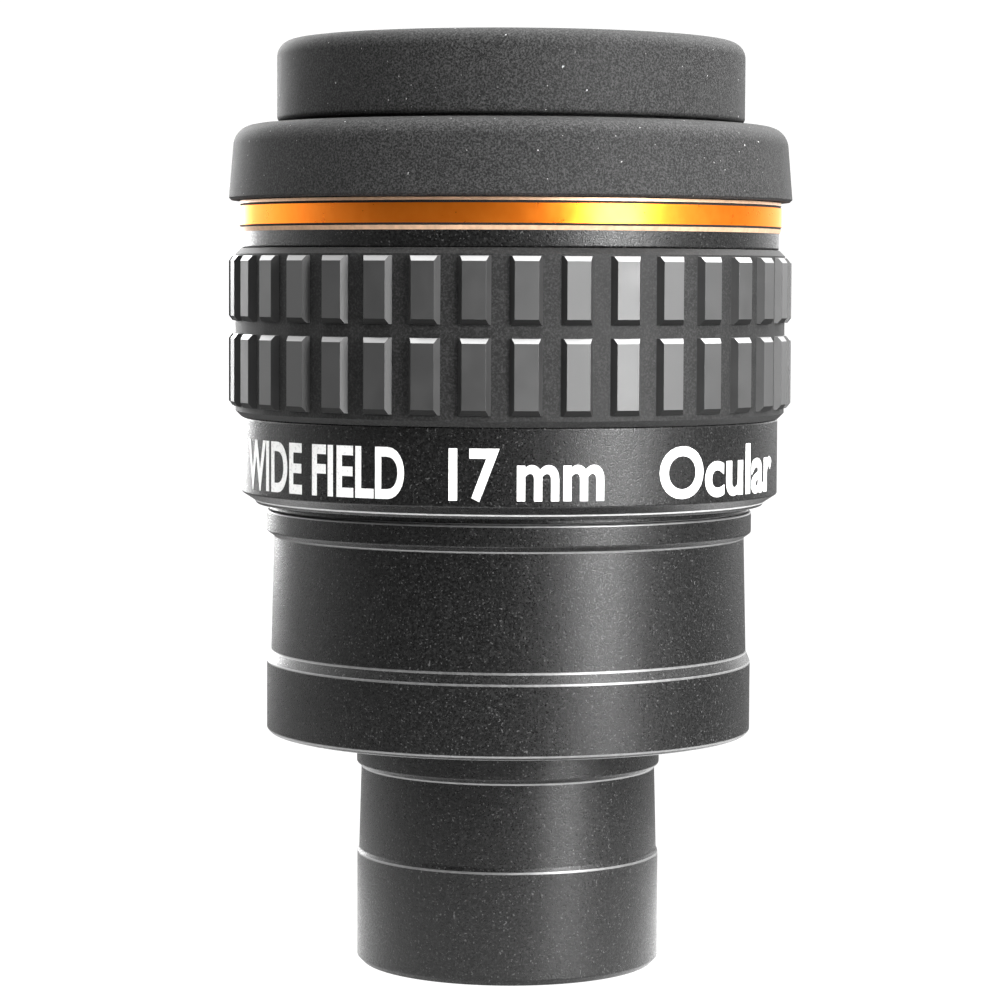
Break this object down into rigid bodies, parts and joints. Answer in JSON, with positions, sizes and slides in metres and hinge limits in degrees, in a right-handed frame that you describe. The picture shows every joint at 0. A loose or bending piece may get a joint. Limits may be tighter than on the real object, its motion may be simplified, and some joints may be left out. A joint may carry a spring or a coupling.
{
  "type": "telescope eyepiece",
  "caption": "Wide-field telescope eyepiece with a 2 inch barrel, an unscrewing 1.25 inch nosepiece, a ribbed rubber grip and a fold-down eyecup.",
  "frame": {"origin": "centre of the nosepiece's open end, at the bottom of the part", "axes": "+Z along the optical axis, from the nosepiece up to the eyecup; -Y faces the lettered front"},
  "size_m": [0.0588, 0.0588, 0.0964],
  "materials": {
    "black_anodised": "bead-blasted black anodising, satin, with a fine light speckle and bright machined edges",
    "blackened_interior": "matt black anodising on baffles, cells and rings",
    "grip_rubber": "moulded rubber with smooth bevelled pads on a fine-grained web",
    "eyecup_rubber": "soft matt rubber with a dusty fine grain",
    "amber_anodised": "glossy amber anodising over turned metal",
    "coated_glass": "polished optical glass with a green multi-coating",
    "white_lettering": "white printed lettering, slightly raised"
  },
  "bodies": {
    "main_body": {"body_shell": "black_anodised", "grip_band": "grip_rubber", "trim_ring": "amber_anodised", "thread_collar": "black_anodised", "barrel_two_inch": "black_anodised", "lens_cell": "blackened_interior", "field_stop": "blackened_interior", "collector_lens_lower": "coated_glass", "collector_lens_upper": "coated_glass", "centre_lens_lower": "coated_glass", "centre_lens_upper": "coated_glass", "inner_eye_lens": "coated_glass", "outer_eye_lens": "coated_glass", "collector_spacer": "blackened_interior", "centre_spacer": "blackened_interior", "eye_spacer": "blackened_interior", "eye_lens_retainer": "blackened_interior"},
    "eyecup": {"eyecup_skirt": "eyecup_rubber"},
    "eyecup_rim": {"eyecup_fold": "eyecup_rubber"},
    "nose_optics": {"field_lens_lower": "coated_glass", "field_lens_upper": "coated_glass"},
    "nosepiece": {"nose_barrel": "black_anodised", "field_lens_retainer": "blackened_interior"}
  },
  "joints": [
    {"name": "eyecup_pull_off", "type": "slide", "parent": "main_body", "child": "eyecup", "axis": [0, 0, 1], "range_m": [0, 0.016]},
    {"name": "eyecup_raise", "type": "slide", "parent": "eyecup", "child": "eyecup_rim", "axis": [0, 0, 1], "range_m": [0, 0.0072]},
    {"name": "nosepiece_travel", "type": "slide", "parent": "main_body", "child": "nose_optics", "axis": [0, 0, -1], "range_m": [0, 0.00525]},
    {"name": "nosepiece_turn", "type": "hinge", "parent": "nose_optics", "child": "nosepiece", "pos_m": [0, 0, 0], "axis": [0, 0, -1], "range_deg": [0, 2520]}
  ],
  "couplings": [
    {"joint": "nosepiece_travel", "follows": "nosepiece_turn", "m_per_rad": 0.00011937}
  ]
}
